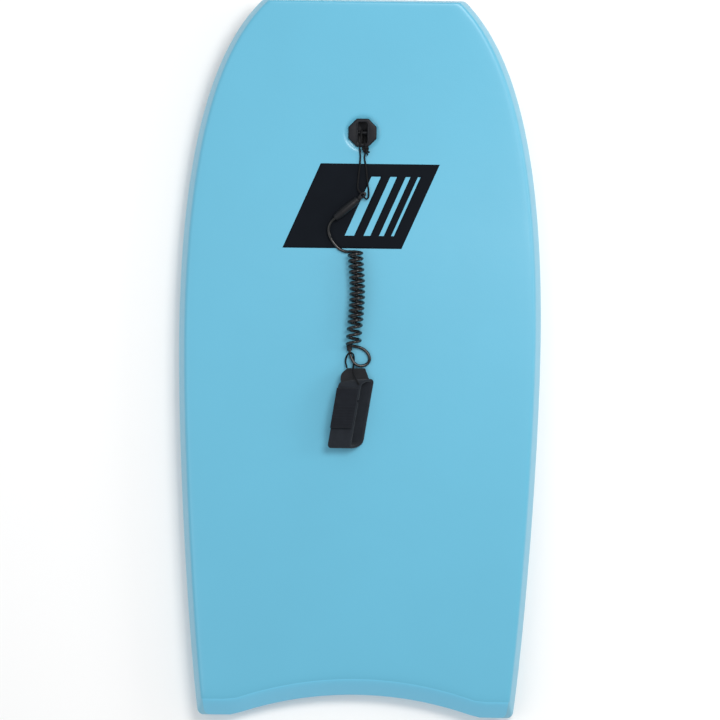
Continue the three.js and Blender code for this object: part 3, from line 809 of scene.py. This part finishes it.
def add_plug():
    plastic = plastic_material("plug plastic", srgb(24, 26, 31), 0.42)
    body = [
        box_ring(0.0094, 0.0184, -0.0140),
        box_ring(0.0100, 0.0190, -0.0134),
        box_ring(0.0100, 0.0190, -0.0030),
        flange_ring(0.0006, -0.0030),
        flange_ring(0.0000, -0.0024),
        flange_ring(0.0000, 0.0016),
        flange_ring(0.0001, 0.0019),
        flange_ring(0.0012, 0.0027),
        flange_ring(0.0016, 0.0029),
        flange_ring(0.0022, 0.0030),
        box_ring(0.0080, 0.0170, 0.0030),
        box_ring(0.0073, 0.0163, 0.0028),
        box_ring(0.0070, 0.0160, 0.0023),
        box_ring(0.0070, 0.0160, -0.0115),
        box_ring(0.0064, 0.0154, -0.0120),
    ]
    place(loft("plug_flange_and_cup", body, plastic, PLUG_MATRIX), "board", "plug_plastic", "plug_body")
    for side in (-1, 1):
        rib = [
            box_ring(0.0010, 0.0150, 0.0026, 5),
            box_ring(0.0010, 0.0150, 0.0037, 5),
            box_ring(0.0008, 0.0148, 0.0040, 5),
            box_ring(0.0004, 0.0144, 0.0042, 5),
        ]
        obj = loft("plug_rib", rib, plastic, PLUG_MATRIX @ Matrix.Translation((side * 0.0085, 0, 0)))
        place(obj, "board", "plug_plastic")
    bar = [(0.0022, -0.0095), (0.0025, -0.0092), (0.0025, 0.0092), (0.0022, 0.0095)]
    along_x = Matrix.Translation((0, 0, -0.0042)) @ Matrix.Rotation(math.pi / 2, 4, "Y")
    cross_bar = turned("plug_cross_bar", bar, plastic, PLUG_MATRIX @ along_x, 32)
    place(cross_bar, "board", "plug_plastic", "plug_crossbar")
    add_base_nut(plastic)


def add_base_nut(plastic):
    """The nut under the board: a flat disc with a coin slot, and the sleeve that clamps the plug."""
    face = -PLUG_THROUGH + 0.0008
    profile = [
        (0.0150, face + 0.0004), (0.0160, face), (0.0186, face), (0.0190, face + 0.0004),
        (0.0190, face + 0.0017), (0.0186, face + 0.0020), (0.0090, face + 0.0020), (0.0090, -0.0162),
        (0.0065, -0.0162), (0.0065, face + 0.0060),
    ]
    nut = turned("plug_clamping_nut", profile, plastic, PLUG_MATRIX)
    slot = [box_ring(0.0120, 0.0015, face + depth, 10) for depth in (-0.001, 0.0012)]
    cut(nut, loft("coin slot", slot, None, PLUG_MATRIX))
    place(nut, "board", "plug_plastic", "plug_base_nut")


# ---------- the leash ----------
SWIVEL_FRAME = Matrix.Translation(SWIVEL_PLACE) @ Matrix.Rotation(SWIVEL_ANGLE, 4, "Z")
SWIVEL_MATRIX = SWIVEL_FRAME @ Matrix.Rotation(math.pi / 2, 4, "Y")


def coil_points():
    """The coiled stretch: a helix that starts and ends at the bottom, heading towards +X."""
    axis = smooth_route(COIL_AXIS, 0.002)
    turns = np.arange(COIL_TURNS * 40 + 1) / 40
    fallen = np.interp(turns, (0, COIL_EVEN_TURNS, COIL_TURNS), (0, COIL_EVEN_LENGTH, COIL_LENGTH))
    along = np.interp(fallen, axis[0, 1] - axis[:, 1], np.arange(len(axis)))
    centre = np.column_stack([np.interp(along, np.arange(len(axis)), axis[:, k]) for k in range(3)])
    angle = turns * 2 * math.pi - math.pi / 2
    across = COIL_RADIUS * np.cos(angle)
    return np.column_stack([centre[:, 0] + across, centre[:, 1], centre[:, 2] + COIL_RADIUS * np.sin(angle)])


def add_leash_cord():
    """The whole urethane cord: the lead from the swivel, the coil, and the ring at its end."""
    lead = smooth_route(LEAD, 0.0015)
    ring = smooth_route(RING, 0.0015)
    coil = coil_points()
    route = np.vstack([lead, coil[1:-1], ring])
    obj = tube("urethane_leash_cord", route, CORD_RADIUS, urethane_material(), CORD_SIDES)
    share = np.zeros(len(route))
    share[len(lead):-len(ring)] = (coil[0, 1] - coil[1:-1, 1]) / (coil[0, 1] - coil[-1, 1])
    share[-len(ring):] = 1
    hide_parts("cord_lead", "cord_coil", "cord_ring")
    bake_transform(obj, "leash", "wrist_cuff", tuple(coil[0]), tuple(coil[-1]))
    keep_rings_round(obj, share, CORD_SIDES)
    return obj, route


def keep_rings_round(obj, share, sides):
    """Give every point of a ring the same share of the stretch, so the cord keeps its thickness."""
    values = np.concatenate([np.repeat(share, sides), share[[0, -1]]])
    attribute = obj.data.attributes["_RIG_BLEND"]
    attribute.data.foreach_set("value", values.astype(np.float32))


def add_knot(material):
    """An overhand knot pulled up into a lump, the strands that run into it, and two short tails."""
    turn = np.linspace(0, 2 * math.pi, 160, endpoint=False)
    lump = KNOT_SCALE * np.column_stack([
        np.sin(turn) + 2 * np.sin(2 * turn), np.cos(turn) - 2 * np.cos(2 * turn), -np.sin(3 * turn),
    ])
    lump += np.array(KNOT_PLACE)
    knot = tube("string_knot_lump", lump, 1.25 * STRING_RADIUS, material, STRING_SIDES, closed=True)
    place(knot, "leash", "nylon_string", "string_knot")
    tails = []
    for route in (
        [UPPER_STRING[0], (0.0043, 0.3160, 0.0654), (0.0046, 0.3135, 0.0652)],
        [UPPER_STRING[-1], (0.0042, 0.3060, 0.0637), (0.0046, 0.3085, 0.0647)],
        [(0.0054, 0.3100, 0.0650), (0.0080, 0.3085, 0.0648), (0.0104, 0.3066, 0.0634)],
        [(0.0050, 0.3090, 0.0655), (0.0068, 0.3058, 0.0650), (0.0078, 0.3024, 0.0636)],
    ):
        tail = tube("string_tail", smooth_route(route, STRING_STEP), STRING_RADIUS, material, STRING_SIDES)
        tails.append(place(tail, "leash", "nylon_string"))
    return [knot, *tails]


def add_swivel(plastic):
    end = SWIVEL_LENGTH
    barrel = [
        (0.0028, 0.0004), (0.0032, 0.0000), (0.0040, 0.0000), (0.0044, 0.0004),
        (0.0052, 0.0020), (0.0056, 0.0078), (0.0058, 0.0092), (0.0060, 0.0100),
        (0.0060, 0.0120), (0.0057, 0.0123), (0.0057, 0.0131), (0.0060, 0.0134),
        (0.0060, end - 0.0094), (0.0059, end - 0.0088), (0.0055, end - 0.0072), (0.0054, end - 0.0066),
        (0.0054, end - 0.0024), (0.0053, end - 0.0016), (0.0049, end - 0.0003), (0.0046, end),
        (0.0031, end), (0.0029, end - 0.0003), (0.0029, end - 0.0060), (0.0045, end - 0.0062),
        (0.0045, end - 0.0130), (0.0028, end - 0.0132),
    ]
    obj = turned("swivel_barrel_shell", barrel, plastic, SWIVEL_MATRIX, closed=True)
    place(obj, "swivel", "swivel_plastic", "swivel_barrel")
    shank = [
        (0.0034, end - 0.0125), (0.0040, end - 0.0121), (0.0040, end - 0.0069), (0.0036, end - 0.0065),
        (0.0025, end - 0.0062), (0.0024, end - 0.0020), (0.0024, end + 0.0012), (0.0034, end + 0.0016),
        (0.0037, end + 0.0022), (0.0037, end + 0.0036), (0.0030, end + 0.0048), (0.0018, end + 0.0056),
    ]
    eye_shank = turned("swivel_eye_shank", shank, plastic, SWIVEL_MATRIX, 48)
    place(eye_shank, "leash", "swivel_plastic", "swivel_eye")
    place(add_eye_lug(plastic, end + 0.0095), "leash", "swivel_plastic")


def add_eye_lug(plastic, hole_at):
    """The flattened ring that the string passes through."""
    outer = circle(1.0, 72)
    lug = outer * [[0.0061, 0.0041]]
    lug[:, 0] -= np.where(outer[:, 0] < 0, 0.0022 * outer[:, 0] ** 2, 0)
    hole = outer * 0.0021
    steps = [
        (lug, 1, -0.0030),
        (lug, 1, 0.0030),
        (lug, 0.94, 0.0035),
        (lug, 0.84, 0.0037),
        (hole, 1.25, 0.0037),
        (hole, 1.08, 0.0034),
        (hole, 1, 0.0028),
        (hole, 1, -0.0028),
        (hole, 1.08, -0.0034),
        (hole, 1.25, -0.0037),
        (lug, 0.84, -0.0037),
        (lug, 0.94, -0.0035),
    ]
    rings = [lift_ring(outline * scale, height) for outline, scale, height in steps]
    matrix = SWIVEL_FRAME @ Matrix.Translation((hole_at, 0, 0))
    return loft("swivel_eye_lug", rings, plastic, matrix, closed=True)


def add_crimp(plastic):
    """The short sleeve that closes the cord's end into a ring."""
    profile = [
        (0.0024, -0.0040), (0.0027, -0.0042), (0.0036, -0.0042), (0.0040, -0.0038), (0.0040, -0.0016),
        (0.0037, -0.0012), (0.0037, 0.0012), (0.0040, 0.0016), (0.0040, 0.0038), (0.0036, 0.0042),
        (0.0027, 0.0042), (0.0024, 0.0040),
    ]
    direction = Matrix.Rotation(math.atan2(1.4, 11), 4, "Z") @ Matrix.Rotation(-math.pi / 2, 4, "X")
    matrix = Matrix.Translation((-0.01565, 0.0161, 0.0600)) @ direction
    obj = turned("ring_crimp_sleeve", profile, plastic, matrix, 48, closed=True)
    return place(obj, "wrist_cuff", "swivel_plastic", "ring_crimp")


def add_leash():
    string_look = string_material()
    plastic = plastic_material("swivel plastic", srgb(25, 26, 29), 0.38)
    upper = smooth_route(UPPER_STRING, STRING_STEP)
    string = tube("upper_string_loop", upper, STRING_RADIUS, string_look, STRING_SIDES)
    place(string, "leash", "nylon_string", "string_upper")
    knot = add_knot(string_look)
    add_swivel(plastic)
    crimp = add_crimp(plastic)
    cord, route = add_leash_cord()
    lower = smooth_route(LOWER_STRING, STRING_STEP)
    loop = tube("lower_string_loop", lower, STRING_RADIUS, string_look, STRING_SIDES)
    place(loop, "wrist_cuff", "nylon_string", "string_lower")


# ---------- the wrist cuff, in its own frame: +Y along the strap towards the nose ----------
CUFF_MATRIX = Matrix.Translation(CUFF_PLACE) @ Matrix(
    ((1, CUFF_SLANT, 0, 0), (0, 1, 0, 0), (0, 0, 1, 0), (0, 0, 0, 1))
)


def strip_section(width, thickness, across=28):
    """A strip's cross section: flat faces, round edges and a shallow sewn channel along each edge."""
    edge = thickness / 2
    inner = width / 2 - edge
    flat = np.linspace(-inner, inner, across)
    from_edge = inner - np.abs(flat)
    channel = 0.00035 * np.exp(-(((from_edge - 0.0016) / 0.0006) ** 2))
    top = np.column_stack([flat, edge - channel])
    turn = np.linspace(math.pi / 2, -math.pi / 2, 8)[1:-1]
    right = np.column_stack([inner + edge * np.cos(turn), edge * np.sin(turn)])
    return np.vstack([top, right, -top, -right])


def strap(name, path, width, thickness, material, lean=0, shift=0, ribs=None):
    """A flat strip swept along a path of (y, z) points in the cuff's upright plane."""
    route = smooth_route([(0, y, z) for y, z in path], STRAP_STEP)
    ahead = np.gradient(route, axis=0)
    ahead /= np.linalg.norm(ahead, axis=1)[:, None]
    outward = np.column_stack([np.zeros(len(route)), -ahead[:, 2], ahead[:, 1]])
    share = np.linspace(0, 1, len(route))
    section = strip_section(width, thickness)
    rings = []
    for place_at, normal, part in zip(route, outward, share):
        swell = ribs(part * len(route) * STRAP_STEP) if ribs else 0
        round_end = math.sqrt(max(0.04, 1 - max(0, 1 - min(part, 1 - part) * len(route) / 2) ** 2))
        height = section[:, 1] * round_end + swell * np.sign(section[:, 1])
        ring = place_at + np.outer(height, normal)
        ring[:, 0] += section[:, 0] + lean * ring[:, 2] + shift
        rings.append(ring)
    return loft(name, rings, material, CUFF_MATRIX, sharp=60)


def band_path():
    """From the root on top, round the nose end, along the bottom, round the tail end and back on top."""
    top = CUFF_TURN[0][1]
    bottom = [(y, -top) for y in np.linspace(0.039, -0.031, 8)]
    back = [(y, top) for y in np.linspace(-0.039, 0.017, 7)]
    tail_turn = [(-y, -z) for y, z in CUFF_TURN]
    return [(0.020, top), (0.029, top)] + CUFF_TURN + bottom + tail_turn + back


def flap_ribs(along):
    """Raised ribs across the flap's outer half."""
    ribbed = np.clip((along - 0.025) / 0.002, 0, 1) * np.clip((0.0575 - along) / 0.002, 0, 1)
    return 0.00035 * ribbed * math.cos(along * 2 * math.pi / 0.0042)


def add_cuff():
    neoprene = neoprene_material("neoprene", srgb(33, 37, 43))
    flap_look = neoprene_material("neoprene flap", srgb(25, 28, 34))
    hook = hook_material()
    band = strap("cuff_neoprene_band", band_path(), CUFF_WIDTH, BAND_THICKNESS, neoprene, lean=CUFF_LEAN)
    place(band, "wrist_cuff", "neoprene", "cuff_band")
    flap_path = [
        (0.038, 0.0138), (0.033, 0.0138), (0.024, 0.0139), (0.020, 0.0148), (0.016, 0.0161), (0.012, 0.0164),
        (0.002, 0.0164), (-0.010, 0.0164), (-0.0214, 0.0164),
    ]
    flap = strap(
        "cuff_closing_flap", flap_path, CUFF_WIDTH, FLAP_THICKNESS, flap_look, shift=-0.0106, ribs=flap_ribs
    )
    place(flap, "closure", "neoprene", "cuff_flap")
    for name, height, body, node in (
        ("cuff_loop_patch_pile", 0.0128, "wrist_cuff", "cuff_loop_patch"),
        ("cuff_hook_patch_hooks", 0.0141, "closure", "cuff_hook_patch"),
    ):
        path = [(y, height) for y in (-0.019, -0.009, 0.002, 0.0126)]
        patch = strap(name, path, 0.031, 0.001, hook, shift=-0.0098)
        place(patch, body, "hook_and_loop", node)
    add_tab()


def add_tab():
    """The webbing tab that holds the string: it twists from the band's sloping end to the deck."""
    left = smooth_route([
        (-0.0275, -0.0355, 0.0755), (-0.0282, -0.0290, 0.0745), (-0.0272, -0.0236, 0.0715),
        (-0.0187, -0.0142, 0.0655),
    ], 0.0002)
    right = smooth_route([
        (0.0155, -0.0325, 0.0620), (0.0138, -0.0290, 0.0615), (0.0115, -0.0225, 0.0608),
        (0.0084, -0.0142, 0.0606),
    ], 0.0002)
    rows = 30
    left = left[np.linspace(0, len(left) - 1, rows).astype(int)]
    right = right[np.linspace(0, len(right) - 1, rows).astype(int)]
    middle = (left + right) / 2
    ahead = np.gradient(middle, axis=0)
    rings = []
    for start, end, centre, forward in zip(left, right, middle, ahead):
        across = end - start
        normal = np.cross(across, forward)
        normal /= np.linalg.norm(normal)
        section = strip_section(np.linalg.norm(across), 0.0024)
        across /= np.linalg.norm(across)
        rings.append(centre + np.outer(section[:, 0], across) + np.outer(section[:, 1], normal))
    tab = loft("cuff_webbing_tab", rings, webbing_material(), sharp=60)
    place(tab, "wrist_cuff", "webbing", "cuff_tab")


# ---------- studio ----------
CAMERA_DISTANCE = 8.0
VIEW_WIDTH = 1.0745  # what the frame shows across, at the height of the board's widest line


def add_floor():
    look = Look("studio floor", (0.93, 0.93, 0.93), 0.9)
    look.mottle(3, 0.004)
    corners = [(-6, -6, 0), (6, -6, 0), (6, 6, 0), (-6, 6, 0)]
    obj = add_object("studio_floor", corners, [(0, 1, 2, 3)], look.material)


def add_camera():
    camera = bpy.data.cameras.new("camera")
    camera.sensor_width = 36
    camera.lens = 36 * (CAMERA_DISTANCE - 0.025) / VIEW_WIDTH
    camera.clip_end = 50
    obj = bpy.data.objects.new("camera", camera)
    bpy.context.collection.objects.link(obj)
    obj.location = (0.0005, -0.0017, CAMERA_DISTANCE)
    obj.rotation_euler = (0, 0, math.radians(0.73))
    bpy.context.scene.camera = obj


def add_area_light(name, location, target, size, power, color=(1, 1, 1)):
    light = bpy.data.lights.new(name, "AREA")
    light.shape = "DISK"
    light.size = size
    light.energy = power
    light.color = color
    obj = bpy.data.objects.new(name, light)
    bpy.context.collection.objects.link(obj)
    obj.location = location
    obj.rotation_euler = (Vector(target) - Vector(location)).to_track_quat("-Z", "Y").to_euler()


def add_studio():
    add_floor()
    add_camera()
    add_area_light("key", (0.8, 1.05, 2.6), (0.05, 0.1, 0), 1.2, 40, (1, 0.975, 0.94))
    add_area_light("fill", (-1.8, -0.6, 2.6), (0, 0, 0), 2.2, 14)
    add_area_light("side", (2.4, 0.5, 1.2), (0.2, 0, 0), 0.9, 12, (1, 0.97, 0.92))
    world = bpy.data.worlds.new("studio")
    world.use_nodes = True
    world.node_tree.nodes["Background"].inputs["Color"].default_value = (0.96, 0.98, 1, 1)
    world.node_tree.nodes["Background"].inputs["Strength"].default_value = 0.62
    bpy.context.scene.world = world
    bpy.context.scene.view_settings.view_transform = "Standard"


add_studio()
add_leash()
add_board()
add_print()
add_plug()
add_cuff()
